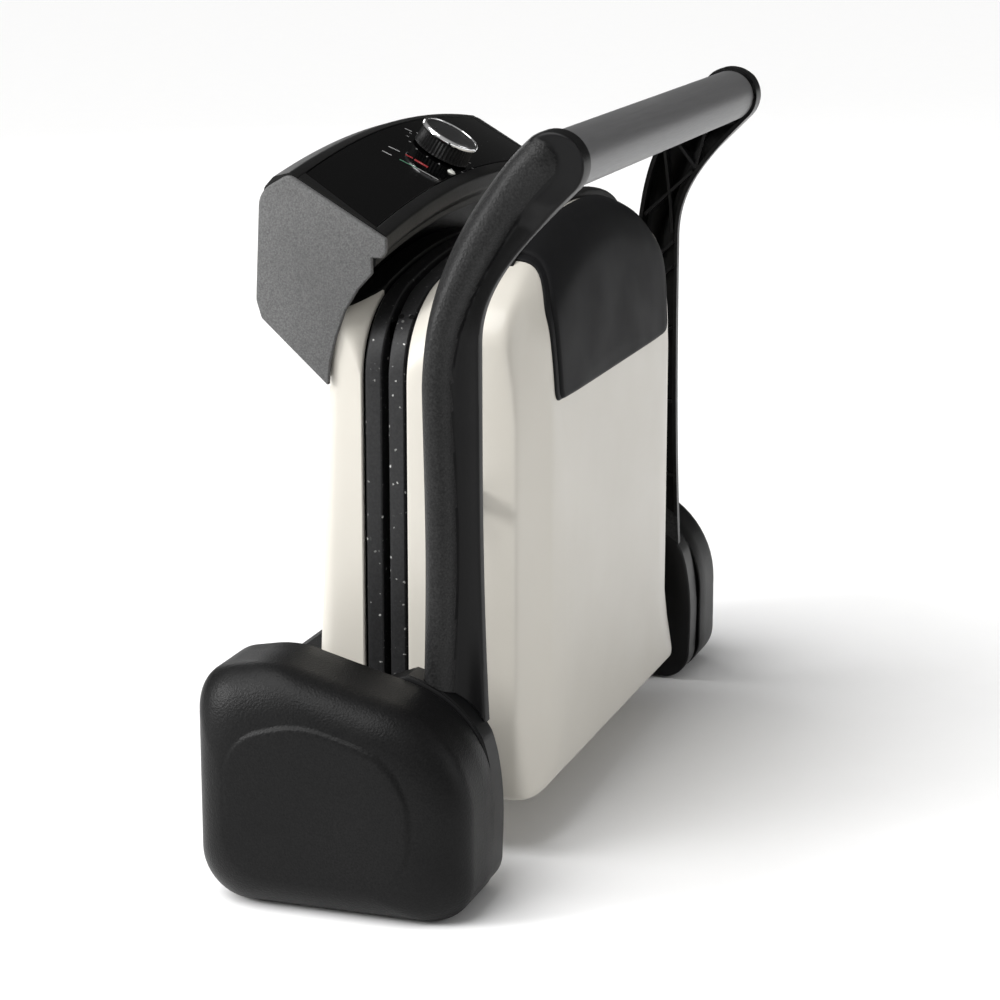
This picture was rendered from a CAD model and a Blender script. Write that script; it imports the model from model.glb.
"""Looks of the waffle maker: detailed visible pieces, procedural materials, studio and camera.

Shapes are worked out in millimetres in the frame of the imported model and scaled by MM.
"""
import math
import bmesh
import bpy
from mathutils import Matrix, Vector
from mathutils.bvhtree import BVHTree


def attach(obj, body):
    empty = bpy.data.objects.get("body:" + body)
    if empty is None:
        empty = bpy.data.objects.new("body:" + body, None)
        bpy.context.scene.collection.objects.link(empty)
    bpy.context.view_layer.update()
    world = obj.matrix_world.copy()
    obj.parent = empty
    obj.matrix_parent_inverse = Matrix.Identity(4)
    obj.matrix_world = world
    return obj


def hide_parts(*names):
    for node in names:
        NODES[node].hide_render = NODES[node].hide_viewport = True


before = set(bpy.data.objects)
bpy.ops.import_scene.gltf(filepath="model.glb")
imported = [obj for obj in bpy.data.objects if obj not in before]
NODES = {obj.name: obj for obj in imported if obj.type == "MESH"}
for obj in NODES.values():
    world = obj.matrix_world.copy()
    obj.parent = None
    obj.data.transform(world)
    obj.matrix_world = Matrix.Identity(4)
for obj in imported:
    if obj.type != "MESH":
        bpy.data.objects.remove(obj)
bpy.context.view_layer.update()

MM = 0.001


# ---- materials ----
def new_material(name, colour, roughness, metallic=0.0, coat=0.0, specular=0.5):
    mat = bpy.data.materials.new(name)
    mat.use_nodes = True
    shader = mat.node_tree.nodes["Principled BSDF"]
    for key, value in (("Base Color", (*colour, 1.0)), ("Roughness", roughness), ("Metallic", metallic),
                       ("Specular IOR Level", specular), ("Coat Weight", coat), ("Coat Roughness", 0.1)):
        shader.inputs[key].default_value = value
    return mat, mat.node_tree, shader


def add_node(tree, kind, links=(), **values):
    """New node; values set its properties or inputs (spaces as _), links are (input, socket)."""
    made = tree.nodes.new(kind)
    for key, value in values.items():
        if hasattr(made, key) and key not in made.inputs:
            setattr(made, key, value)
        else:
            made.inputs[key.replace("_", " ")].default_value = value
    for key, socket in links:
        tree.links.new(socket, made.inputs[key])
    return made


def coordinates(tree, stretch=(1.0, 1.0, 1.0)):
    source = add_node(tree, "ShaderNodeTexCoord").outputs["Object"]
    return add_node(tree, "ShaderNodeMapping", [("Vector", source)], Scale=stretch).outputs[0]


def noise(tree, place, scale, detail=2.0, rough=0.5):
    return add_node(tree, "ShaderNodeTexNoise", [("Vector", place)], Scale=scale, Detail=detail,
                    Roughness=rough).outputs["Fac"]


def spread(tree, socket, new_low=0.0, new_high=1.0, low=0.3, high=0.7):
    """Map a socket's range (by default what a noise covers) to a new one."""
    made = add_node(tree, "ShaderNodeMapRange", [("Value", socket)])
    for i, value in enumerate((low, high, new_low, new_high)):
        made.inputs[i + 1].default_value = value
    return made.outputs[0]


def blend(tree, factor, first, second):
    """Mix two colours; each is an RGB tuple or a socket."""
    made = tree.nodes.new("ShaderNodeMix")
    made.data_type = 'RGBA'
    tree.links.new(factor, made.inputs[0])
    for i, value in ((6, first), (7, second)):
        if isinstance(value, tuple):
            made.inputs[i].default_value = (*value, 1.0)
        else:
            tree.links.new(value, made.inputs[i])
    return made.outputs[2]


def bump(tree, shader, height, distance, strength=1.0, under=None):
    made = add_node(tree, "ShaderNodeBump", [("Height", height)], Strength=strength, Distance=distance)
    if under is not None:
        tree.links.new(under, made.inputs["Normal"])
    tree.links.new(made.outputs[0], shader.inputs["Normal"])
    return made.outputs[0]


def grained(name, colour, light, roughness, grain=1500.0, depth=0.00007, speck=0.5, specular=0.35):
    """Moulded plastic: spark-eroded grain, slight mottling and rubbed, glossier patches."""
    mat, tree, shader = new_material(name, colour, roughness, specular=specular)
    place = coordinates(tree)
    fine = noise(tree, place, grain, 3.0, 0.6)
    cloud = noise(tree, place, 22.0, 3.0, 0.5)
    half = 0.22 / speck
    mottled = blend(tree, spread(tree, fine, 0.0, 1.0, 0.5 - half, 0.5 + half), colour, light)
    soft = blend(tree, spread(tree, cloud, 0.0, 0.35), mottled, colour)
    tree.links.new(soft, shader.inputs["Base Color"])
    tree.links.new(spread(tree, cloud, roughness - 0.05, roughness + 0.06), shader.inputs["Roughness"])
    cells = add_node(tree, "ShaderNodeTexVoronoi", [("Vector", place)], Scale=grain * 0.8).outputs["Distance"]
    first = bump(tree, shader, cells, depth, 0.55)
    bump(tree, shader, fine, depth, 0.7, first)
    return mat


def make_cream():
    """Cream enamel: faint clouds, slightly uneven gloss and a low, wide orange peel."""
    mat, tree, shader = new_material("cream_enamel", (0.58, 0.556, 0.498), 0.32, coat=0.08, specular=0.36)
    place = coordinates(tree)
    cloud = noise(tree, place, 9.0, 3.0)
    tone = blend(tree, spread(tree, cloud), (0.556, 0.53, 0.474), (0.594, 0.568, 0.512))
    tree.links.new(tone, shader.inputs["Base Color"])
    tree.links.new(spread(tree, noise(tree, place, 30.0, 4.0), 0.28, 0.36), shader.inputs["Roughness"])
    bump(tree, shader, noise(tree, place, 70.0, 1.0), 0.00012, 0.12)
    return mat


def make_granite():
    """Non-stick coat: dark base with fine grey flecks and a few larger white ones."""
    mat, tree, shader = new_material("granite_coat", (0.02, 0.02, 0.021), 0.45, specular=0.25)
    place = coordinates(tree)
    base = blend(tree, noise(tree, place, 900.0, 3.0), (0.005, 0.005, 0.0053), (0.027, 0.027, 0.028))
    for scale, reach, colour in ((520.0, 0.26, (0.16, 0.16, 0.16)), (260.0, 0.2, (0.62, 0.62, 0.6))):
        cells = add_node(tree, "ShaderNodeTexVoronoi", [("Vector", place)], Scale=scale)
        ragged = spread(tree, noise(tree, place, scale * 2.4, 2.0), -reach * 0.5, reach * 0.8)
        far = add_node(tree, "ShaderNodeMath", [(0, cells.outputs["Distance"]), (1, ragged)], operation='ADD')
        inside = spread(tree, far.outputs[0], 0.0, 1.0, reach, reach * 0.6)
        chosen = add_node(tree, "ShaderNodeSeparateColor", [("Color", cells.outputs["Color"])])
        some = spread(tree, chosen.outputs[0], 0.0, 1.0, 0.62, 0.95)
        fleck = add_node(tree, "ShaderNodeMath", [(0, inside), (1, some)], operation='MULTIPLY')
        base = blend(tree, fleck.outputs[0], base, colour)
    tree.links.new(base, shader.inputs["Base Color"])
    bump(tree, shader, noise(tree, place, 1300.0), 0.00004, 0.6)
    return mat


def make_metal(name, colour, roughness, stretch, scale=60.0, depth=0.00002, anisotropic=0.0,
               vary=0.06, metallic=1.0):
    """Metal with fine lines drawn out along one axis."""
    mat, tree, shader = new_material(name, colour, roughness, metallic)
    shader.inputs["Anisotropic"].default_value = anisotropic
    lines = noise(tree, coordinates(tree, stretch), scale, 3.0, 0.6)
    dark = tuple(c * 0.86 for c in colour)
    tree.links.new(blend(tree, spread(tree, lines), dark, colour), shader.inputs["Base Color"])
    tree.links.new(spread(tree, lines, roughness - vary, roughness + vary), shader.inputs["Roughness"])
    bump(tree, shader, lines, depth, 0.4)
    return mat


def make_gloss():
    """Black gloss with faint smears."""
    mat, tree, shader = new_material("panel_gloss", (0.0015, 0.0015, 0.0016), 0.06, specular=0.1)
    smear = noise(tree, coordinates(tree), 40.0, 4.0, 0.6)
    tree.links.new(spread(tree, smear, 0.05, 0.14, 0.35, 0.75), shader.inputs["Roughness"])
    return mat


def make_plain(name, colour, roughness, metallic=0.0, scale=300.0):
    """Small or hidden parts: one tone with slight mottling and a fine surface."""
    mat, tree, shader = new_material(name, colour, roughness, metallic)
    speck = noise(tree, coordinates(tree), scale, 3.0)
    dark = tuple(c * 0.8 for c in colour)
    tree.links.new(blend(tree, speck, dark, colour), shader.inputs["Base Color"])
    bump(tree, shader, speck, 0.00003, 0.4)
    return mat


CREAM = make_cream()
DARK = grained("charcoal_grain", (0.002, 0.002, 0.0022), (0.010, 0.010, 0.010), 0.38,
               1250.0, 0.00014, 0.9, specular=0.13)
ARM_DARK = grained("arm_grain", (0.002, 0.002, 0.0022), (0.027, 0.027, 0.027), 0.42,
                   1150.0, 0.00022, 0.9, specular=0.2)
ARM_SATIN = grained("arm_satin", (0.005, 0.005, 0.0052), (0.007, 0.007, 0.0073), 0.34,
                    2600.0, 0.00002, specular=0.15)
BOX_DARK = grained("housing_grain", (0.005, 0.005, 0.005), (0.010, 0.010, 0.010), 0.45, specular=0.2)
CAP_GREY = grained("cap_grain", (0.05, 0.05, 0.05), (0.14, 0.14, 0.14), 0.55, 1350.0, 0.00011, 0.9)
COVER_GREY = grained("cover_grain", (0.008, 0.008, 0.0086), (0.012, 0.012, 0.0126), 0.5,
                     2000.0, 0.00003, specular=0.05)
INNER_BLACK = grained("inner_black", (0.003, 0.003, 0.003), (0.006, 0.006, 0.006), 0.5, specular=0.1)
GRANITE = make_granite()
GLOSS = make_gloss()
TUBE = make_metal("satin_tube", (0.19, 0.19, 0.193), 0.44, (3.0, 60.0, 60.0), 30.0, 0.00001, 0.3,
                  metallic=0.5)
CHROME = make_metal("polished_chrome", (0.86, 0.86, 0.87), 0.07, (1.0, 1.0, 1.0), 90.0, 0.000002, 0.0, 0.02)
STEEL = make_metal("plain_steel", (0.5, 0.5, 0.5), 0.36, (1.0, 1.0, 8.0))
SHEET = make_metal("bright_sheet", (0.75, 0.75, 0.75), 0.28, (1.0, 1.0, 6.0))
RUBBER = make_plain("foot_rubber", (0.02, 0.02, 0.02), 0.8)
NYLON = make_plain("nylon", (0.7, 0.68, 0.6), 0.5)
LENS = make_plain("lens", (0.75, 0.75, 0.7), 0.2)
LAMP = make_plain("lamp_glass", (0.85, 0.45, 0.25), 0.2)
FACE = make_plain("knob_face", (0.02, 0.02, 0.021), 0.3)
RED = make_plain("mark_red", (0.35, 0.02, 0.025), 0.4)
GREEN = make_plain("mark_green", (0.1, 0.3, 0.18), 0.4)
WHITE = make_plain("mark_white", (0.5, 0.5, 0.5), 0.4)


# ---- mesh helpers ----
def new_object(name, data):
    made = bpy.data.objects.new(name, data)
    bpy.context.scene.collection.objects.link(made)
    return made


def add(name, work, mats, body, nodes=(), sharp=32.0, bevel=0.0, flat=False):
    """Finish a bmesh in millimetres as a piece that rides on a body and replaces CAD nodes."""
    bmesh.ops.recalc_face_normals(work, faces=work.faces[:])
    for vert in work.verts:
        vert.co *= MM
    mesh = bpy.data.meshes.new(name)
    work.to_mesh(mesh)
    work.free()
    for mat in (mats if isinstance(mats, list) else [mats]):
        mesh.materials.append(mat)
    if not flat:
        mesh.shade_smooth()
        mesh.set_sharp_from_angle(angle=math.radians(sharp))
    piece = new_object(name, mesh)
    if bevel:
        step = piece.modifiers.new("edges", 'BEVEL')
        step.width = bevel * MM
        step.segments = 2
        step.limit_method = 'ANGLE'
        step.angle_limit = math.radians(40)
        step.harden_normals = True
    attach(piece, body)
    if nodes:
        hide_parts(*([nodes] if isinstance(nodes, str) else nodes))
    return piece


def loft(rings, closed=False, into=None, skip=(), open_end=False):
    """Bridge rings of equal length; ends and the gaps at skip are capped, closed joins last to first."""
    work = into or bmesh.new()
    rows = [[work.verts.new(point) for point in ring] for ring in rings]
    count = len(rows[0])
    last = len(rows) if closed else len(rows) - 1
    for k in range(last):
        if k in skip:
            continue
        low, high = rows[k], rows[(k + 1) % len(rows)]
        for i in range(count):
            j = (i + 1) % count
            work.faces.new((low[i], low[j], high[j], high[i]))
    if not closed:
        work.faces.new(rows[0])
        if not open_end:
            work.faces.new(rows[-1])
    for k in skip:
        work.faces.new(rows[k])
        work.faces.new(rows[(k + 1) % len(rows)])
    return work


def sheet(work, grid):
    """Quads over a grid of vertices."""
    return [work.faces.new((a[i], a[i + 1], b[i + 1], b[i]))
            for a, b in zip(grid, grid[1:]) for i in range(len(a) - 1)]


def border_of(grid):
    return ([row[0] for row in grid] + grid[-1][1:] + [row[-1] for row in grid[-2::-1]]
            + grid[0][-2:0:-1])


def slices(sign, outline, steps):
    """Rings of a (y, z) outline at steps (x, inset)."""
    return [[(sign * x, y, z) for y, z in outline(inset)] for x, inset in steps]


def arc(centre, radius, steps, start, sweep):
    angles = [math.radians(start + sweep * i / steps) for i in range(steps + 1)]
    return [(centre[0] + radius * math.cos(a), centre[1] + radius * math.sin(a)) for a in angles]


def rounded(corners, steps=12):
    """Outline of a polygon whose corners (x, y, radius) are rounded."""
    points = []
    for i, (x, y, radius) in enumerate(corners):
        here = Vector((x, y))
        before = (Vector(corners[i - 1][:2]) - here).normalized()
        after = (Vector(corners[(i + 1) % len(corners)][:2]) - here).normalized()
        half = before.angle(after) / 2
        reach = radius / math.tan(half)
        centre = here + (before + after).normalized() * (radius / math.sin(half))
        first, last = here + before * reach - centre, here + after * reach - centre
        turn = first.angle_signed(last)
        for k in range(steps + 1):
            a = -turn * k / steps
            points.append((centre.x + first.x * math.cos(a) - first.y * math.sin(a),
                           centre.y + first.x * math.sin(a) + first.y * math.cos(a)))
    return points


def bezier(p0, p1, p2, p3, steps):
    """Points of a cubic curve, without its last one."""
    found = []
    for i in range(steps):
        t = i / steps
        s = 1 - t
        found.append(tuple(s ** 3 * a + 3 * s * s * t * b + 3 * s * t * t * c + t ** 3 * d
                           for a, b, c, d in zip(p0, p1, p2, p3)))
    return found


def turned(profile, centre, axis, steps=64, closed=False, ripple=None, into=None):
    """Body of revolution; ripple(k, radius, along) may change the radius of step k."""
    axis = Vector(axis).normalized()
    side = axis.orthogonal().normalized()
    up = axis.cross(side)
    centre = Vector(centre)
    rings = []
    for radius, along in profile:
        ring = []
        for k in range(steps):
            r = ripple(k, radius, along) if ripple else radius
            a = 2 * math.pi * k / steps
            ring.append(centre + axis * along + side * (r * math.cos(a)) + up * (r * math.sin(a)))
        rings.append(ring)
    return loft(rings, closed, into=into)


def smooth(rings, between=4):
    """Catmull-Rom rings between the given ones, so that a form flows from ring to ring."""
    made = []
    for k in range(len(rings) - 1):
        a, b, c = rings[max(k - 1, 0)], rings[k], rings[k + 1]
        d = rings[min(k + 2, len(rings) - 1)]
        for i in range(between):
            t = i / between
            ring = []
            for p, q, r, s in zip(a, b, c, d):
                p, q, r, s = map(Vector, (p, q, r, s))
                m0, m1 = (r - p) * 0.5, (s - q) * 0.5
                ring.append(q * (2 * t ** 3 - 3 * t * t + 1) + m0 * (t ** 3 - 2 * t * t + t)
                            + r * (3 * t * t - 2 * t ** 3) + m1 * (t ** 3 - t * t))
            made.append(ring)
    return made + [[Vector(point) for point in rings[-1]]]


def step_up(low, high, value):
    """Smooth step from 0 at low to 1 at high, which may be either way round."""
    share = min(max((value - low) / (high - low), 0.0), 1.0)
    return share * share * (3 - 2 * share)


# ---- outlines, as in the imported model, with more points ----
PLATE_HALF_W, PLATE_FRONT, PLATE_FRONT_R = 121.2, 258.6, 400.0
SHELL_REAR, SHELL_RIM, BASE_DEPTH, PLATE_REAR = 21.0, 30.0, 53.5, 62.0


def plan(half_width, rear, front, front_radius, corner, rear_corner=9.0):
    """Outline in X and Z shared by the plates and both shells: bowed front, straight sides and rear."""
    def front_z(x):
        return front - x * x / (2 * front_radius)
    join = half_width - corner
    slope = join / front_radius
    near, far = front_z(half_width) - corner * 0.72, front_z(join)
    right = bezier((half_width, near), (half_width, near + corner * 0.55),
                   (join + corner * 0.5, far - corner * 0.5 * slope), (join, far), 16)
    middle = [(join * (1 - 2 * i / 24), front_z(join * (1 - 2 * i / 24))) for i in range(25)]
    half = [(half_width, rear + rear_corner + (near - rear - rear_corner) * k / 12) for k in range(12)]
    start = bezier((half_width - rear_corner, rear), (half_width - rear_corner * 0.45, rear),
                   (half_width, rear + rear_corner * 0.45), (half_width, rear + rear_corner), 6)
    base_x = half_width - rear_corner
    under = [(base_x * (-0.9 + 0.1 * k), rear) for k in range(19)]
    left = [(-x, z) for x, z in reversed(half + right)]
    corner_left = [(-x, z) for x, z in reversed(start)]
    return start + half + right + middle + left + corner_left + under


def plate_plan(inset=0.0, rear=SHELL_REAR, corner=40.0):
    return plan(PLATE_HALF_W - inset, rear + inset, PLATE_FRONT - inset, PLATE_FRONT_R - inset,
                max(corner - inset, 4.0))


# ---- side covers and hubs ----
COVER_IN, COVER_EDGE, COVER_OUT = 172.3, 199.0, 219.0
CROWN = math.radians(78.0)
CROWN_STEPS = 18
PIVOT = (0.0, 2.0, 46.0)


def cover_outline(i=0.0):
    return rounded([(-48.6 + i, 0.0 + i, 18 - min(i, 10)), (-48.6 + i, 84.0 - i, 50 - i),
                    (40.0, 107.6 - i, 42 - i), (73.0 - i, 101.6 - i, 17 - min(i, 9)),
                    (73.0 - i, 0.0 + i, 22 - min(i, 10))], 14)


def plateau_outline(i=0.0):
    return rounded([(-26.5 + i, 17.0 + i, 22 - i), (-26.5 + i, 73.0 - i, 34 - i), (22.0, 86.0 - i, 44 - i),
                    (56.0 - i, 76.5 - i, 22 - i), (56.0 - i, 17.0 + i, 18 - i)], 14)


def side_cover(label, sign):
    """Hollow foot: rounded side wall, crowned outer edge and a low plateau that fades out downwards."""
    shape = slices(sign, cover_outline, (
        (COVER_IN + 0.5, 1.2), (COVER_IN, 0.7), (COVER_IN + 0.25, 0.25), (COVER_IN + 0.9, 0.0),
        (COVER_IN + 12.0, 0.0), (COVER_EDGE - 8.0, 0.0), (COVER_EDGE - 2.0, 0.0)))
    outer, inner = cover_outline(0.0), plateau_outline(-1.3)
    fade = [0.1 + 0.9 * step_up(-0.45, 0.55, Vector((y - 15.0, z - 50.0)).normalized().dot((-0.55, 0.83)))
            for y, z in inner]
    for k in range(CROWN_STEPS + 1):
        a = CROWN * k / CROWN_STEPS
        share = (1 - math.cos(a)) / (1 - math.cos(CROWN))
        rise = math.sin(a) / math.sin(CROWN)
        shape.append([(sign * (COVER_EDGE + (COVER_OUT - 1.8 * f - COVER_EDGE) * rise),
                       p[0] + (q[0] - p[0]) * share, p[1] + (q[1] - p[1]) * share)
                      for p, q, f in zip(outer, inner, fade)])
    for x, inset in ((1.72, -0.8), (1.35, -0.1), (0.7, 0.6), (0.33, 1.2), (0.13, 2.2), (0.03, 4.0),
                     (0.0, 10.0)):
        shape.append([(sign * (COVER_OUT - x * f), y, z) for (y, z), f in zip(plateau_outline(inset), fade)])
    last = len(shape) - 1
    shape += slices(sign, cover_outline, ((COVER_OUT - 4.0, 20.0), (COVER_EDGE, 4.0), (COVER_IN + 1.0, 3.0)))
    work = loft(shape, closed=True, skip=(last,))
    add("cover_shell_" + label, work, DARK, "base", "side_cover_" + label, 34.0)


def hub_outline(i=0.0):
    top = arc(PIVOT[1:], 51.0 - i, 24, 102.0, 42.0)
    front = bezier((-41.9 + i, 71.3 - i * 0.6), (-45.0 + i, 64.0), (-47.3 + i, 50.0), (-47.3 + i, 36.0), 10)
    low = [(-47.3 + i, 36.0), (-47.2 + i, 28.0)]
    corner = arc((-31.6, 15.6), 15.2 - i, 12, 186.0, 72.0)
    back = arc(PIVOT[1:], 43.0 - i, 44, 266.0, 172.0)
    return top[:-2] + front + low + corner + back


def hub(label, sign):
    """Round drum at an arm's foot, with a groove round its outer half."""
    steps = ((155.8, 9.0), (155.8, 1.2), (156.1, 0.5), (156.9, 0.0), (169.2, 0.0), (169.6, 0.9),
             (170.2, 0.9), (170.5, 0.1), (171.0, 0.2), (171.4, 0.9), (171.4, 9.0))
    add("hub_drum_" + label, loft(slices(sign, hub_outline, steps)), ARM_SATIN, "handle",
        "hub_" + label, 30.0)


# ---- arms ----
TUBE_Y, TUBE_Z, TUBE_R, TIP_R = -66.0, 312.6, 12.5, 14.3
ARM_RIGHT, ARM_LEFT, ARM_IN, ARM_TIP_IN, ARM_DEPTH = -37.4, -14.5, 155.3, 143.8, 15.7
ARM_WALL, SEAM_R = 2.1, 51.4
LEAN = math.radians(45.0)
ACROSS, ONWARD = Vector((math.cos(LEAN), math.sin(LEAN))), Vector((-math.sin(LEAN), math.cos(LEAN)))
TUBE_AT = Vector((TUBE_Y, TUBE_Z))


def arm_edges(steps):
    """Pairs of points (y, z) along an arm's two edges, from the hub to the tube."""
    right_end, left_end = tuple(TUBE_AT - ACROSS * TIP_R), tuple(TUBE_AT + ACROSS * TIP_R)
    right, left = [], []
    for k in range(24):
        share = k / 24
        for side, y, top in ((right, ARM_RIGHT - 3.0 * (1 - share) ** 3, 238.0), (left, ARM_LEFT, 216.0)):
            foot = PIVOT[2] + math.sqrt(SEAM_R ** 2 - (y - PIVOT[1]) ** 2)
            side.append((y, foot + (top - foot) * share))
    right += bezier((ARM_RIGHT, 238.0), (ARM_RIGHT, 262.0), (right_end[0] + 25.0, right_end[1] - 25.0),
                    right_end, steps)
    left += bezier((ARM_LEFT, 216.0), (ARM_LEFT, 268.0), (left_end[0] + 27.0, left_end[1] - 27.0),
                   left_end, steps)
    return [(Vector(a), Vector(b)) for a, b in zip(right + [right_end], left + [left_end])]


def arm_stations(steps):
    """The edge pairs, carried on round the half circle of the tip."""
    pairs = arm_edges(steps)
    for angle in [4.0 * k for k in range(1, 21)] + [82.5, 85.0, 87.0, 89.2]:
        half = TIP_R * math.cos(math.radians(angle))
        middle = TUBE_AT + ONWARD * TIP_R * math.sin(math.radians(angle))
        pairs.append((middle - ACROSS * half, middle + ACROSS * half))
    return pairs


def arm_inner(z):
    """X of an arm's open inner side, which leans in towards the tube."""
    return ARM_IN + (ARM_TIP_IN - ARM_IN) * step_up(240.0, 306.0, z)


def ridge_width(z):
    return 6.6 + 2.0 * step_up(236.0, 292.0, z)


PAIRS = arm_stations(30)
FINE = arm_stations(96)
SPINE = [b + (a - b).normalized() * (ridge_width(b.y) + 0.6) for a, b in PAIRS[:54]]


def to_spine(point):
    """Distance from the middle line of an arm's ridge."""
    best = 1e9
    for p, q in zip(SPINE, SPINE[1:]):
        along = q - p
        t = min(max((point - p).dot(along) / along.length_squared, 0.0), 1.0)
        best = min(best, (point - p - along * t).length)
    return best


def arm_height(point, v, width):
    """Depth of an arm's outer face: domed ridge along the base side, hollow, sloping flange."""
    flange = 8.2 - 3.0 * step_up(0.55, 0.0, v) - 1.4 * math.sin(math.pi * min(v / 0.62, 1.0)) ** 2
    at_tip = 1.0 - step_up(15.0, 30.0, (point - TUBE_AT).length)
    flange += (10.4 - flange) * at_tip
    reach = min(to_spine(point) / (ridge_width(point.y) + 1.2), 1.0)
    height = flange + (ARM_DEPTH - flange) * (1.0 - reach ** 2.6) ** 1.25
    for edge, radius in (((1 - v) * width, 2.6), (v * width, 1.2)):
        if edge < radius:
            height -= radius - math.sqrt(max(radius ** 2 - (radius - edge) ** 2, 0.0))
    return max(height, 3.0)


STEPS = [0.0, 0.01, 0.03, 0.06] + [0.1 + 0.8 * k / 36 for k in range(37)]
STEPS += [0.92, 0.94, 0.96, 0.975, 0.99, 1.0]


def shares(a, b):
    """Places of an arm's columns across its width, so that one runs along the ridge's foot."""
    foot = max(1.0 - (2.0 * ridge_width(b.y) + 1.8) / (b - a).length, 0.15)
    return [foot * t / 0.4 if t < 0.4 else foot + (1.0 - foot) * (t - 0.4) / 0.6 for t in STEPS]


def foot_point(point, station):
    """The lowest station of an arm follows the hub's round edge."""
    if station > 0:
        return point
    return Vector((point.x, PIVOT[2] + math.sqrt(SEAM_R ** 2 - (point.x - PIVOT[1]) ** 2)))


def arm(label, sign):
    """Open channel section: outer face, thin walls and, inside, ribs across the channel."""
    def at(spot, height=0.0):
        return (sign * (arm_inner(spot.y) + height), spot.x, spot.y)

    outer, inner = [], []
    for k, (a, b) in enumerate(FINE):
        width = (b - a).length
        spots = [(v, foot_point(a.lerp(b, v), k)) for v in shares(a, b)]
        outer.append([at(foot_point(a, k))] + [at(spot, arm_height(spot, v, width)) for v, spot in spots]
                     + [at(foot_point(b, k))])
        if 2 <= k < len(FINE) - 17:
            edge = min(ARM_WALL / width, 0.3)
            ring = [at(a.lerp(b, edge))]
            for v in [edge + (1 - 2 * edge) * i / 12 for i in range(13)]:
                spot = a.lerp(b, v)
                ring.append(at(spot, max(arm_height(spot, min(max(v, 0.12), 0.9), width) - 2.4, 1.5)))
            inner.append(ring + [at(a.lerp(b, 1 - edge))])
    work = bmesh.new()
    rows = [[work.verts.new(p) for p in ring] for ring in outer]
    deep = [[work.verts.new(p) for p in ring] for ring in inner]
    for face in sheet(work, rows):
        _, y, z = face.calc_center_median()
        face.material_index = RIDGE if to_spine(Vector((y, z))) < ridge_width(z) + 0.4 else FLANGE
    for face in sheet(work, deep):
        face.material_index = CHANNEL
    for side in (0, -1):
        for face in sheet(work, [(row[side], wall[side]) for row, wall in zip(rows[2:], deep)]):
            face.material_index = FLANGE
    top = len(deep) + 1
    work.faces.new(rows[0])
    work.faces.new([rows[k][0] for k in range(3)] + deep[0] + [rows[k][-1] for k in (2, 1, 0)])
    work.faces.new(deep[-1] + [row[-1] for row in rows[top:]] + [row[0] for row in reversed(rows[top:])])
    work.faces.new(rows[-1])
    for ends in RIBS:
        rib(work, sign, *ends)
    add("arm_moulding_" + label, work, [ARM_DARK, ARM_SATIN, INNER_BLACK], "handle",
        "arm_" + label, 38.0)


RIDGE, FLANGE, CHANNEL = 0, 1, 2
# Ribs: the two stations and the two shares of the width that each one joins.
RIBS = [(52, 44, 0.1, 0.86), (44, 41, 0.9, 0.1), (50, 41, 0.5, 0.1), (42, 26, 0.9, 0.14),
        (40, 31, 0.12, 0.88)] + [(k, k, 0.1, 0.9) for k in (24, 22, 17, 11, 5)]


def rib(work, sign, first, second, u, v, thick=0.75, low=0.6):
    """Thin wall across an arm's channel between two stations, at shares u and v of the width."""
    ends = [PAIRS[k][0].lerp(PAIRS[k][1], share) for k, share in ((first, u), (second, v))]
    side = (ends[1] - ends[0]).normalized().orthogonal() * thick
    rings = []
    for i in range(13):
        spot = ends[0].lerp(ends[1], i / 12)
        base = arm_inner(spot.y)
        a, b = min(PAIRS, key=lambda pair: abs((spot - pair[0]).cross((pair[1] - pair[0]).normalized())))
        width = (b - a).length
        share = min(max((spot - a).dot(b - a) / width ** 2, 0.0), 1.0)
        high = min(arm_height(spot, min(max(share, 0.12), 0.9), width), 9.0) - 2.6
        rings.append([(sign * (base + x), *(spot + side * s)) for x, s in
                      ((low, 1), (low, -1), (high, -1), (high, 1))])
    start = len(work.faces)
    loft(rings, into=work)
    work.faces.ensure_lookup_table()
    for face in work.faces[start:]:
        face.material_index = FLANGE


def tube():
    half = 151.8
    profile = [(TUBE_R - 0.5, -half), (TUBE_R, -half + 0.5)]
    profile += [(TUBE_R, -half + 0.5 + (2 * half - 1) * k / 12) for k in range(1, 13)]
    profile += [(TUBE_R - 0.5, half), (TUBE_R - 1.2, half), (TUBE_R - 1.2, -half)]
    work = turned(profile, (0, TUBE_Y, TUBE_Z), (1, 0, 0), 96, closed=True)
    add("grip_tube", work, TUBE, "handle", "handle_tube", 40.0)


# ---- base ----
TRIM_X, TRIM_Z = 101.0, 246.0


def underside(y, z):
    """The base gets thinner towards its upper end."""
    share = min(max((z - 82.0) / 176.0, 0.0), 1.0)
    return SHELL_RIM + (y - SHELL_RIM) * (1.0 - 0.38 * share)


def tub_ring(inset, y, corner=9.0):
    return [(x, underside(y, z), z) for x, z in plate_plan(inset, corner=corner)]


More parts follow.
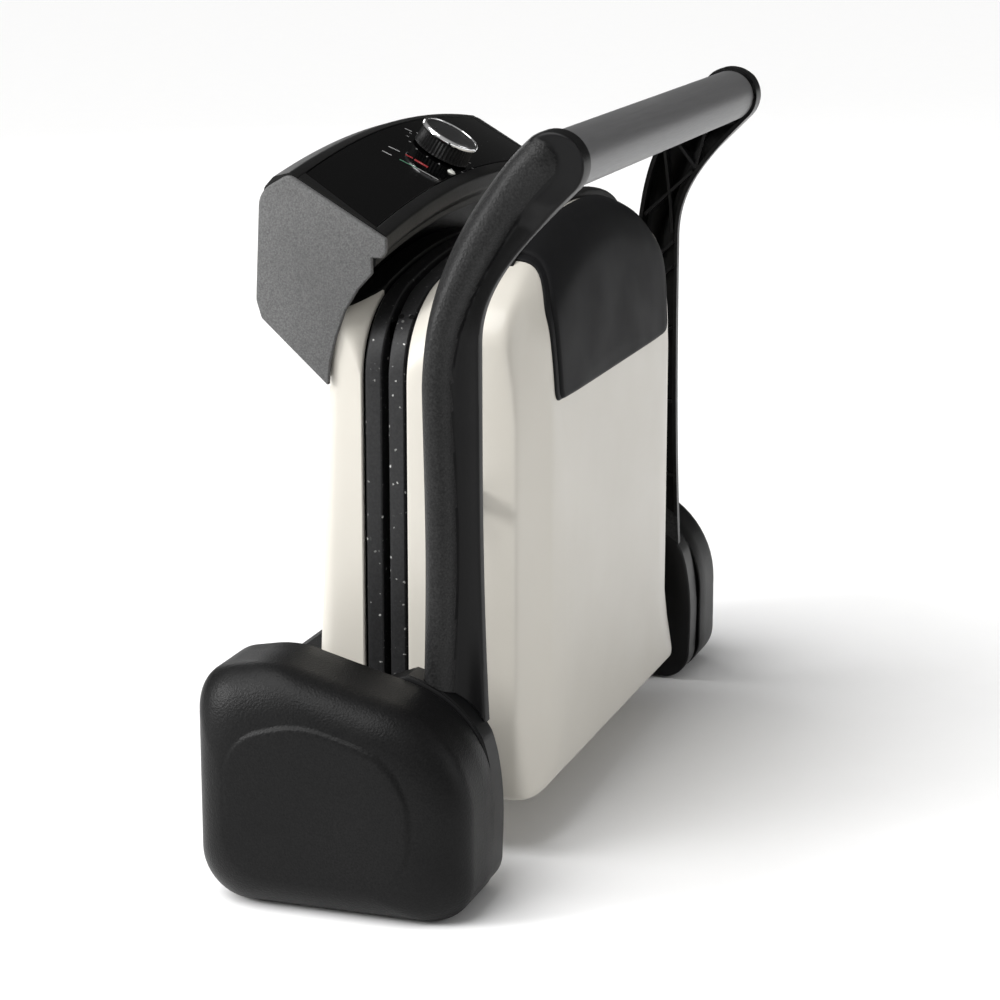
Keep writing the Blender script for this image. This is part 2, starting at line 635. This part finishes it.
def base_shell():
    """Cream tub, with a black trim where it passes under the control box."""
    outer = [(0.5, SHELL_RIM, 40.0), (0.0, SHELL_RIM + 0.5, 39.0), (0.0, 33.0, 31.0), (0.0, 36.0, 24.0),
             (0.0, 40.5, 15.0), (0.0, 45.0, 9.0), (0.25, 47.3, 9.0), (1.0, 49.3, 9.0), (2.2, 51.0, 9.0),
             (4.0, 52.4, 9.0), (6.4, 53.2, 9.0), (9.0, BASE_DEPTH, 9.0)]
    inner = [(9.0, BASE_DEPTH - 2.9, 9.0), (4.5, 49.6, 9.0), (3.0, 47.0, 11.0), (3.0, 36.0, 25.0),
             (2.6, SHELL_RIM, 40.0)]
    rings = [tub_ring(*step) for step in outer + inner]
    work = loft(rings, closed=True)
    work.verts.index_update()
    count = len(rings[0])
    black = {i for i, (x, _, z) in enumerate(rings[0]) if z > TRIM_Z and abs(x) < TRIM_X}
    for face in work.faces:
        if all(v.index % count in black for v in face.verts):
            face.material_index = 1
    add("base_casing", work, [CREAM, BOX_DARK], "base", "base_shell", 35.0)


def base_bottom():
    steps = ((9.3, 2.9), (9.3, 0.5), (9.9, 0.0), (30.0, 0.0), (31.0, 0.7), (60.0, 0.7))
    work = loft([tub_ring(inset, BASE_DEPTH - depth) for inset, depth in steps])
    add("underside_panel", work, DARK, "base", "base_cover", 30.0)


# ---- plates ----
COLUMNS, ROWS, STUD, GROOVE, FLOOR_DEPTH = 4, 6, 14.0, 9.9, 9.0


def waffle_lines(start, count):
    """Grid lines (position, depth share) across a waffle: walls and studs lean by 1.6 mm."""
    lean = 1.6
    lines, at = [(start - lean * 0.2, 0.0)], start
    for _ in range(count):
        lines += [(at + lean, 1.0), (at + GROOVE - lean, 1.0)]
        at += GROOVE
        lines += [(at + lean * 0.3, 0.0), (at + STUD - lean * 0.3, 0.0)]
        at += STUD
    return lines + [(at + lean, 1.0), (at + GROOVE - lean, 1.0), (at + GROOVE + lean * 0.2, 0.0)]


def cooking_plate(name, node, body, face_y, back):
    """Cast plate: flange with a rounded rim and two waffle beds of leaning studs."""
    profile = [(8.4, 12.0), (8.0, 7.8), (1.6, 7.8), (0.8, 7.0), (0.8, 1.3), (0.9, 0.7), (1.4, 0.2),
               (2.1, 0.0)]
    work = loft([[(x, face_y + back * depth, z) for x, z in plate_plan(inset, PLATE_REAR)]
                 for inset, depth in profile], open_end=True)
    work.verts.ensure_lookup_table()
    loops = [work.verts[-len(plate_plan()):]]
    width = COLUMNS * STUD + (COLUMNS + 1) * GROOVE
    height = ROWS * STUD + (ROWS + 1) * GROOVE
    low_z = (PLATE_REAR + PLATE_FRONT) / 2 - height / 2 - 2.0
    for start in (-width - 3.0, 3.0):
        xs, zs = waffle_lines(start, COLUMNS), waffle_lines(low_z, ROWS)
        grid = []
        for x, dx in xs:
            column = []
            for z, dz in zs:
                rim_line = x in (xs[0][0], xs[-1][0]) or z in (zs[0][0], zs[-1][0])
                deep = 0.0 if rim_line else max(dx, dz)
                stud = 0.0 if rim_line or deep else 1.1
                column.append(work.verts.new((x, face_y + back * (deep * FLOOR_DEPTH + stud), z)))
            grid.append(column)
        sheet(work, grid)
        loops.append(border_of(grid))
    edges = [work.edges.get(pair) for ring in loops for pair in zip(ring, ring[1:] + ring[:1])]
    bmesh.ops.triangle_fill(work, use_beauty=True, edges=edges)
    add(name, work, GRANITE, body, node, 25.0, bevel=0.35)


# ---- control box ----
BOX_HALF_W, BOX_BOW = 121.5, 11.0
PANEL_HALF_W, PANEL_TAPER = 119.6, 7.5
PANEL_IN, PANEL_OUT = (17.5, 275.0), (62.0, 300.5)
KNOB_AT = 0.42
OUTER_BEZEL, INNER_BEZEL, PANEL_THICK = 4.6, 6.0, 2.2
PANEL_RUN, PANEL_RISE = PANEL_OUT[0] - PANEL_IN[0], PANEL_OUT[1] - PANEL_IN[1]
PANEL_LEN = math.hypot(PANEL_RUN, PANEL_RISE)
PANEL_NORMAL = Vector((0, -PANEL_RISE / PANEL_LEN, PANEL_RUN / PANEL_LEN))
PANEL_UP = Vector((0, PANEL_NORMAL.z, -PANEL_NORMAL.y))


def bow(x):
    """How far the box's top stands up at x."""
    return BOX_BOW * (1.0 - (x / 124.0) ** 2)


def panel_point(share, lift=0.0):
    """(y, z) at a share of the panel's slope from its lower edge, lifted off it."""
    return (PANEL_IN[0] + PANEL_RUN * share + PANEL_NORMAL.y * lift,
            PANEL_IN[1] + PANEL_RISE * share + PANEL_NORMAL.z * lift)


def soften(profile, radius, steps=4):
    """Round the corners of a closed profile whose points are (y, z, share of the bow)."""
    made = []
    for i, point in enumerate(profile):
        before, after = Vector(profile[i - 1]), Vector(profile[(i + 1) % len(profile)])
        here = Vector(point)
        lead, trail = before - here, after - here
        a = here + lead * min(radius / max(lead.xy.length, 1e-6), 0.45)
        b = here + trail * min(radius / max(trail.xy.length, 1e-6), 0.45)
        for k in range(steps + 1):
            t = k / steps
            made.append(tuple(a * (1 - t) ** 2 + here * 2 * t * (1 - t) + b * t * t))
    return made


def box_profile():
    """Closed section of the control box: (y, z, share of the bow)."""
    recess_out, recess_in = 1.0 - OUTER_BEZEL / PANEL_LEN, INNER_BEZEL / PANEL_LEN
    recess = [(*panel_point(share, lift), 1.0) for share, lift in
              ((recess_out, 0.0), (recess_out, -PANEL_THICK), (recess_in, -PANEL_THICK), (recess_in, 0.0))]
    return [(*PANEL_OUT, 0.84), *recess, (*PANEL_IN, 1.0),
            (17.6, 268.5, 1.0), (22.5, 264.5, 1.0), (22.5, 261.5, 1.0), (45.6, 261.5, 0.9),
            (48.2, 211.3, 0.0), (62.0, 224.4, 0.05), (74.6, 236.4, 0.1), (77.2, 240.6, 0.15),
            (77.9, 246.0, 0.2), (77.0, 258.0, 0.4), (75.2, 288.0, 0.7), (73.6, 294.0, 0.78),
            (69.4, 298.6, 0.82)]


def control_box():
    """Casing with a sunk panel; its top is bowed along X."""
    profile = soften(box_profile(), 0.8, 3)
    rings = []
    for k in range(41):
        x = BOX_HALF_W * (-1.0 + 2.0 * k / 40)
        rings.append([(x, y, z + bow(x) * share) for y, z, share in profile])
    add("control_casing", loft(rings), BOX_DARK, "base", "control_housing", 28.0)


def on_box(x, share, lift):
    """Point on or above the box's sloping face, which is bowed along X."""
    y, z = panel_point(share, lift)
    return (x, y, z + bow(x))


def panel_ring(x_share, low, high, top=-0.2, base=-1.9):
    """Section of the glossy panel, whose ends lean in towards its upper edge."""
    return [on_box((PANEL_HALF_W - PANEL_TAPER * share) * x_share, share, lift) for share, lift in
            ((low, base), (high, base), (high, top - 0.25), (high - 0.006, top), (low + 0.006, top),
             (low, top - 0.25))]


def control_panel():
    low, high = INNER_BEZEL / PANEL_LEN + 0.006, 1.0 - OUTER_BEZEL / PANEL_LEN - 0.006
    rings = [panel_ring(-1.0 + 2.0 * k / 48, low, high) for k in range(49)]
    add("gloss_panel", loft(rings), GLOSS, "base", "control_panel", 25.0)


def bezel_ends():
    """Matt end strips beside the glossy panel, tapering towards its lower edge."""
    low, high = INNER_BEZEL / PANEL_LEN, 1.0 - OUTER_BEZEL / PANEL_LEN
    for label, sign in (("left", -1), ("right", 1)):
        rings = []
        for k in range(9):
            share = low + (high - low) * k / 8
            inner, outer = PANEL_HALF_W + 0.3 - PANEL_TAPER * share, BOX_HALF_W - 0.2
            rings.append([on_box(sign * x, share, lift) for x, lift in
                          ((inner, -2.1), (outer, -2.1), (outer, -0.2), (outer - 0.3, 0.0),
                           (inner + 0.3, 0.0), (inner, -0.3))])
        add("bezel_strip_" + label, loft(rings), BOX_DARK, "base", (), 30.0)


def on_panel(u, v, lift=-0.14):
    """Point on the panel, u along X and v up its slope from the knob's centre, in millimetres."""
    return on_box(u, KNOB_AT + v / PANEL_LEN, lift)


def dash(work, start, end, thick, index):
    """Printed dash between two (u, v) points, split so that it follows the panel's bow."""
    start, end = Vector(start), Vector(end)
    side = (end - start).orthogonal().normalized() * thick / 2
    rows = []
    for k in range(5):
        spot = start.lerp(end, k / 4)
        rows.append([work.verts.new(on_panel(*(spot + side * s))) for s in (-1, 1)])
    for face in sheet(work, rows):
        face.material_index = index


def dial_marks():
    """Plain scale round the knob: two coloured arcs, ticks and a few dashes; no lettering."""
    work = bmesh.new()
    red, green, white = range(3)
    dash(work, (-31.6, 6.6), (-30.4, 3.0), 1.6, red)
    dash(work, (-30.6, 2.0), (-29.4, -5.0), 2.2, red)
    dash(work, (-41.8, 5.5), (-38.6, -3.0), 0.8, green)
    dash(work, (-38.6, -3.0), (-36.4, -13.6), 0.6, white)
    for start, end in (((-44.6, 14.0), (-43.0, 9.4)), ((-35.0, 14.6), (-32.6, 9.4)),
                       ((1.6, 21.2), (3.4, 18.0))):
        dash(work, start, end, 0.8, white)
    for k in range(15):
        a = math.radians(-64.0 + 308.0 * k / 14)
        way = (math.cos(a), math.sin(a))
        dash(work, (16.6 * way[0], 16.6 * way[1]), (17.8 * way[0], 17.8 * way[1]), 0.5, white)
    grown = bmesh.ops.extrude_face_region(work, geom=work.faces[:])
    for item in grown["geom"]:
        if isinstance(item, bmesh.types.BMVert):
            item.co += PANEL_NORMAL * 0.04
    add("dial_marks", work, [RED, GREEN, WHITE], "base", (), flat=True)


# Corners of the box's end caps: y, z and radius.
CAP_CORNERS = [(61.6, 300.6, 5), (75.4, 292.5, 11), (77.8, 245.0, 8), (75.4, 237.0, 3), (44.3, 208.6, 0.6),
               (43.4, 219.0, 1), (40.4, 230.5, 2), (36.2, 242.0, 2), (30.0, 252.0, 2), (23.4, 259.0, 1),
               (23.4, 266.0, 0.5), (18.6, 266.0, 1), (16.8, 268.6, 1), (16.8, 274.6, 1)]


def cap_outline(i):
    """End cap outline inset by i: corners move inwards first and are rounded afterwards."""
    made = []
    for k, corner in enumerate(CAP_CORNERS):
        here = Vector(corner[:2])
        before = (here - Vector(CAP_CORNERS[k - 1][:2])).normalized()
        after = (Vector(CAP_CORNERS[(k + 1) % len(CAP_CORNERS)][:2]) - here).normalized()
        inward = Vector((-before.y - after.y, before.x + after.x)).normalized() * -1.0
        reach = i / max(abs(inward.dot(Vector((-after.y, after.x)))), 0.5)
        spot = here + inward * reach
        made.append((spot.x, spot.y, max(corner[2] - i * 0.6, 0.15)))
    return rounded(made, 6)


def end_cap(label, sign):
    steps = ((121.8, 0.3), (122.1, 0.0), (123.2, 0.0), (123.75, 0.15), (124.1, 0.5), (124.2, 1.0))
    add("box_end_" + label, loft(slices(sign, cap_outline, steps)), CAP_GREY, "base",
        "end_cap_" + label, 30.0)


# ---- knob ----
def knob():
    """Ribbed skirt, chrome trim ring and dished face with one raised dot."""
    y, z = panel_point(KNOB_AT)
    centre = Vector((0.0, y, z + BOX_BOW))
    ribs = 48

    def ripple(k, radius, along):
        if radius < 12.0 or not 1.2 < along < 8.0:
            return radius
        return radius - (0.0, 0.28, 0.55, 0.28)[k % 4]

    skirt = [(3.4, 0.5), (13.4, 0.5), (13.9, 0.8), (13.9, 1.4), (13.7, 1.9), (13.3, 7.6), (13.0, 8.1),
             (12.4, 8.3), (3.4, 8.3)]
    work = turned(skirt, centre, PANEL_NORMAL, ribs * 4, closed=True, ripple=ripple)
    add("knob_skirt", work, DARK, "dial", "knob", 25.0)
    ring = [(12.6, 8.5), (13.8, 8.5), (14.15, 8.7), (14.3, 9.3), (14.25, 9.9), (14.0, 10.45), (13.6, 10.85),
            (13.15, 11.0), (12.8, 10.9), (12.6, 10.5)]
    work = turned(ring, centre, PANEL_NORMAL, 96, closed=True)
    add("knob_trim", work, CHROME, "dial", "knob_ring", 60.0)
    face = [(3.4, 8.6), (12.45, 8.6), (12.45, 10.4), (12.2, 10.55), (11.9, 10.35), (9.0, 10.2), (0.01, 10.1)]
    work = turned(face, centre, PANEL_NORMAL, 96)
    dot = centre + Vector((-6.0, 0, 0)) + PANEL_UP * 6.5
    turned([(0.9, 9.6), (0.9, 10.45), (0.6, 10.55)], dot, PANEL_NORMAL, 20, into=work)
    add("knob_dish", work, FACE, "dial", "knob_face", 40.0)


# ---- lid ----
LID_CREST, LID_CREST_R, LID_REAR = 277.3, 200.0, 25.5
WRAP_Y, WRAP_Z, WRAP_RATE = -22.0, 238.0, 1.6


def lid_ring(y_side, y_front, y_rear, inset_side, inset_front, inset_rear, crest_share, tilt=0.0):
    """Ring round the lid, from the plate's outline at its rim to the higher crest outline."""
    front = PLATE_FRONT + (LID_CREST - PLATE_FRONT) * crest_share - inset_front
    radius = PLATE_FRONT_R + (LID_CREST_R - PLATE_FRONT_R) * crest_share
    corner = 40.0 - 24.0 * crest_share
    outline = plan(PLATE_HALF_W + 0.6 - inset_side, LID_REAR + inset_rear, front, radius, corner, 4.0)
    ring = []
    for x, z in outline:
        to_front = min(max((z - 195.0) / (front - 195.0), 0.0), 1.0) ** 1.5
        to_rear = min(max((60.0 - z) / 30.0, 0.0), 1.0)
        y = y_side + (y_front - y_side) * to_front + (y_rear - y_side) * to_rear + tilt * (z - 130.0)
        ring.append((x, y, z))
    return ring


LID_OUTER = [(8.0, 8.0, 8.0, 0.4, 0.4, 0.4, 0.0), (7.5, 7.5, 7.5, 0, 0, 0, 0.03),
             (-8.0, -6.0, -8.0, 0, 0, 0, 0.55), (-30.0, -14.0, -30.0, 0, 0, 0, 0.97),
             (-38.5, -20.0, -38.5, 0, 0, 0, 1.0), (-41.0, -24.0, -42.0, 0.5, 0.2, 0.3, 1.0),
             (-42.6, -31.0, -47.6, 3, 0.8, 1.2, 1.0), (-46.0, -39.0, -50.6, 15, 7, 3.6, 1.0),
             (-48.9, -43.6, -51.7, 24.6, 17.0, 6.4, 0.96), (-49.6, -45.4, -51.9, 27.5, 23.0, 8.2, 0.94),
             (-50.7, -50.7, -50.7, 44, 60, 30, 0.6, 0.014)]
LID_INNER = [(-47.0, -47.0, -47.0, 44, 60, 30, 0.6, 0.014), (-43.6, -36.0, -46.6, 20, 14, 8, 0.95),
             (-38.0, -22.0, -38.0, 3.2, 3.4, 3.2, 1.0), (-8.0, -6.0, -8.0, 3, 3, 3, 0.52),
             (8.0, 8.0, 8.0, 2.6, 2.6, 2.6, 0.0)]


def soften_rings(rings, start, turns):
    """Ease the creases between facets by averaging each ring with its neighbours."""
    for _ in range(turns):
        before = [list(ring) for ring in rings]
        for k in range(start, len(rings) - 1):
            rings[k] = [b * 0.5 + (a + c) * 0.25 for a, b, c in zip(before[k - 1], before[k], before[k + 1])]
    return rings


def lid_shell():
    """Hollow lid; gives its surface back, so that the front cover can lie on it."""
    outer = soften_rings(smooth([lid_ring(*step) for step in LID_OUTER], 5), 12, 12)
    inner = [lid_ring(*step) for step in LID_INNER]
    work = loft(outer + inner, closed=True, skip=(len(outer) - 1,))
    bmesh.ops.recalc_face_normals(work, faces=work.faces[:])
    surface = BVHTree.FromBMesh(work)
    add("lid_casing", work, CREAM, "lid", "lid_shell", 32.0)
    return surface


def on_lid(surface, x, t):
    """Point and normal on the lid: t is the height up to WRAP_Z, then turns over the crest."""
    if t < WRAP_Z:
        origin, way = Vector((x, -90.0, t)), Vector((0, 1, 0))
    else:
        a = math.radians((t - WRAP_Z) * WRAP_RATE)
        way = Vector((0, math.cos(a), -math.sin(a)))
        origin = Vector((x, WRAP_Y, WRAP_Z)) - way * 70.0
    place, normal, _, _ = surface.ray_cast(origin, way)
    return place, normal if normal.dot(way) < 0 else -normal


def front_cover(surface):
    """Panel wrapped over the lid's front, with a stepped border along both of its sides."""
    low, top, border, full = 201.0, WRAP_Z + 80.0 / WRAP_RATE, 8.0, 2.05
    ts = [low + 0.5 * k for k in range(5)] + [204.0 + (top - 204.0) * k / 60 for k in range(61)]
    edge = [(0.0, 0.1), (0.25, 0.7), (0.6, 0.95), (1.2, 1.05), (3.6, 1.05), (4.2, 0.95), (4.5, 0.35),
            (4.9, 0.3), (5.3, 0.9), (5.9, 1.6), (6.8, 1.95), (border, full)]
    rows = []
    for t in ts:
        half = 92.0 + 1.3 * step_up(205.0, 232.0, t) - 12.5 * step_up(236.0, 276.0, t) ** 1.2
        if t < low + 6.0:
            half -= 6.0 - math.sqrt(max(36.0 - (low + 6.0 - t) ** 2, 0.0))
        columns = [(d - half, h) for d, h in edge]
        columns += [((half - border) * (-1 + 2 * k / 40), full) for k in range(1, 40)]
        columns += [(half - d, h) for d, h in reversed(edge)]
        from_end = min(t - low, (top - t) * 1.2)
        drop = 1.0 - math.sqrt(max(1.0 - (1.0 - min(from_end / 2.0, 1.0)) ** 2, 0.0))
        row = []
        for x, h in columns:
            place, normal = on_lid(surface, x, t)
            row.append((place, normal, h * (1 - drop) + 0.1 * drop))
        rows.append(row)
    flatten(rows)
    work = bmesh.new()
    outside = [[work.verts.new(p + n * h) for p, n, h in row] for row in rows]
    inside = [[work.verts.new(p - n * 0.25) for p, n, h in row] for row in rows]
    sheet(work, outside)
    sheet(work, inside)
    rim = list(zip(border_of(outside), border_of(inside)))
    for (a, b), (c, d) in zip(rim, rim[1:] + rim[:1]):
        work.faces.new((a, b, d, c))
    add("front_panel", work, COVER_GREY, "lid", "lid_front_cover", 50.0)


def flatten(rows, turns=14):
    """Average neighbouring normals, so that facets of the lid don't show."""
    for _ in range(turns):
        before = [list(row) for row in rows]
        for k, row in enumerate(rows):
            for i, (place, _, lift) in enumerate(row):
                total = Vector()
                for dk, di in ((0, 0), (1, 0), (-1, 0), (0, 1), (0, -1)):
                    a, b = min(max(k + dk, 0), len(rows) - 1), min(max(i + di, 0), len(row) - 1)
                    total += before[a][b][1]
                row[i] = (place, total.normalized(), lift)


def lid_grip():
    """Finger bar along the lid's crest, rounded off at its ends."""
    half_len = 85.0
    rings = []
    for k in range(49):
        x = half_len * (-1.0 + k / 24)
        low = LID_CREST - 0.6 - x * x / (2 * LID_CREST_R)
        end = max(1.0 - (abs(x) / half_len) ** 16, 0.02) ** 0.5
        top = low + 0.8 + (279.8 - 14.0 * (abs(x) / 84.0) ** 3 - low - 0.8) * end
        rings.append([(x, -27.6, low), (x, -17.6, low)]
                     + [(x, -22.6 + 5.0 * math.cos(a), top - 1.6 + 1.6 * math.sin(a))
                        for a in [math.radians(180.0 * i / 10) for i in range(11)]])
    add("crest_grip", loft(rings), BOX_DARK, "lid", "lid_grip", 35.0)


def latch_notch(label, sign):
    """Two dark round notches and a joint line in the rim of the upper plate."""
    work = bmesh.new()
    for y in (16.5, 11.6):
        turned([(0.01, -1.0), (1.35, -1.0), (1.35, 0.1), (1.2, 0.2), (0.01, 0.2)],
               (sign * 106.65, y, 238.15), (sign * 0.621, 0, 0.783), 24, into=work)
    loft([[(sign * (111.9 + 0.748 * d + 0.133 * s), y, 233.15 + 0.665 * d - 0.15 * s)
           for s, y in ((-1, 10.7), (-1, 17.5), (1, 17.5), (1, 10.7))] for d in (-0.6, 0.12)], into=work)
    add("rim_notch_" + label, work, INNER_BLACK, "lid", (), 30.0)


# ---- CAD nodes that stay ----
def keep(mat, *names):
    for name in names:
        mesh = NODES[name].data
        mesh.materials.clear()
        mesh.materials.append(mat)
        mesh.shade_smooth()
        mesh.set_sharp_from_angle(angle=math.radians(30))


def both(*stems):
    return [stem + side for stem in stems for side in ("_left", "_right")]


# ---- assembly ----
for side_name, side_sign in (("left", -1), ("right", 1)):
    side_cover(side_name, side_sign)
    hub(side_name, side_sign)
    arm(side_name, side_sign)
    end_cap(side_name, side_sign)
    latch_notch(side_name, side_sign)
tube()
base_shell()
base_bottom()
cooking_plate("lower_waffle_plate", "lower_plate", "base", 21.0, 1.0)
cooking_plate("upper_waffle_plate", "upper_plate", "lid", 18.0, -1.0)
control_box()
control_panel()
bezel_ends()
dial_marks()
knob()
front_cover(lid_shell())
lid_grip()
keep(INNER_BLACK, "lid_inner_frame", "rear_deck")
keep(DARK, *both("tube_plug"), "crossmember")
keep(STEEL, "lower_heater", "upper_heater", "thermostat", "thermal_fuse", "knob_shaft",
     *("cover_screw_%d" % number for number in range(1, 5)),
     *both("hinge_bracket", "hinge_pin", "friction_washer", "lid_pin", "lid_bracket"))
keep(SHEET, "lower_reflector", "upper_reflector")
keep(RUBBER, "cable_gland", *both("rear_foot", "front_foot"))
keep(NYLON, "terminal_block", *both("hinge_bush"))
keep(LENS, "lamp_lens")
keep(LAMP, "lamp_body")


# ---- studio ----
def studio():
    """Pale floor, and a world that is lighter on the left and above."""
    floor_mat, tree, shader = new_material("floor_paper", (0.93, 0.93, 0.93), 0.7)
    speck = noise(tree, coordinates(tree), 30.0, 4.0)
    tree.links.new(blend(tree, speck, (0.92, 0.92, 0.92), (0.94, 0.94, 0.94)), shader.inputs["Base Color"])
    floor_mesh = bpy.data.meshes.new("floor")
    size = 14.0
    floor_mesh.from_pydata([(-size, -size, 0), (size, -size, 0), (size, size, 0), (-size, size, 0)], [],
                           [(0, 1, 2, 3)])
    floor_mesh.materials.append(floor_mat)
    new_object("floor", floor_mesh)
    world = bpy.data.worlds.new("studio_world")
    world.use_nodes = True
    tree = world.node_tree
    back = tree.nodes["Background"]
    way = add_node(tree, "ShaderNodeTexCoord").outputs["Generated"]
    lean = add_node(tree, "ShaderNodeVectorMath", [(0, way)], operation='DOT_PRODUCT')
    lean.inputs[1].default_value = (-0.75, 0.15, 0.6)
    tone = spread(tree, lean.outputs["Value"], 0.05, 0.5, -0.45, 0.9)
    tree.links.new(tone, back.inputs[1])
    back.inputs[0].default_value = (1.0, 0.995, 0.985, 1.0)
    bpy.context.scene.world = world
    bpy.context.scene.view_settings.view_transform = 'Standard'


def aimed(name, data, direction, axis, place=(0.0, 0.0, 0.0)):
    """Object whose axis points along a direction."""
    made = new_object(name, data)
    made.location = place
    made.rotation_mode = 'QUATERNION'
    made.rotation_quaternion = Vector(direction).to_track_quat(axis, 'Y')
    return made


def overhead(direction, strength, angle):
    """Broad, even light from above, so that the floor is lit the same everywhere."""
    data = bpy.data.lights.new("overhead", 'SUN')
    data.energy = strength
    data.angle = math.radians(angle)
    aimed("overhead", data, direction, 'Z')


def soft_light(name, place, size, power):
    """Rectangular light aimed at the middle of the object."""
    data = bpy.data.lights.new(name, 'AREA')
    data.shape = 'RECTANGLE'
    data.size, data.size_y = size
    data.energy = power
    aimed(name, data, Vector((0.0, 0.0, 0.15)) - Vector(place), '-Z', place)


def camera():
    data = bpy.data.cameras.new("camera")
    data.sensor_width = 36.0
    data.lens = 101.916
    data.clip_end = 100.0
    yaw, pitch = 0.3232, 0.2418
    ahead = (math.cos(yaw) * math.cos(pitch), math.sin(yaw) * math.cos(pitch), -math.sin(pitch))
    bpy.context.scene.camera = aimed("camera", data, ahead, '-Z', (-1.2469, -0.4107, 0.4559))


studio()
overhead((-0.42, 0.3, 0.86), 2.9, 50.0)
soft_light("left", (-1.1, 1.3, 0.75), (0.45, 0.5), 20.0)
soft_light("front", (0.5, -2.1, 0.8), (1.3, 1.3), 8.5)
soft_light("back", (1.7, 1.5, 1.1), (0.9, 0.9), 7.0)
camera()
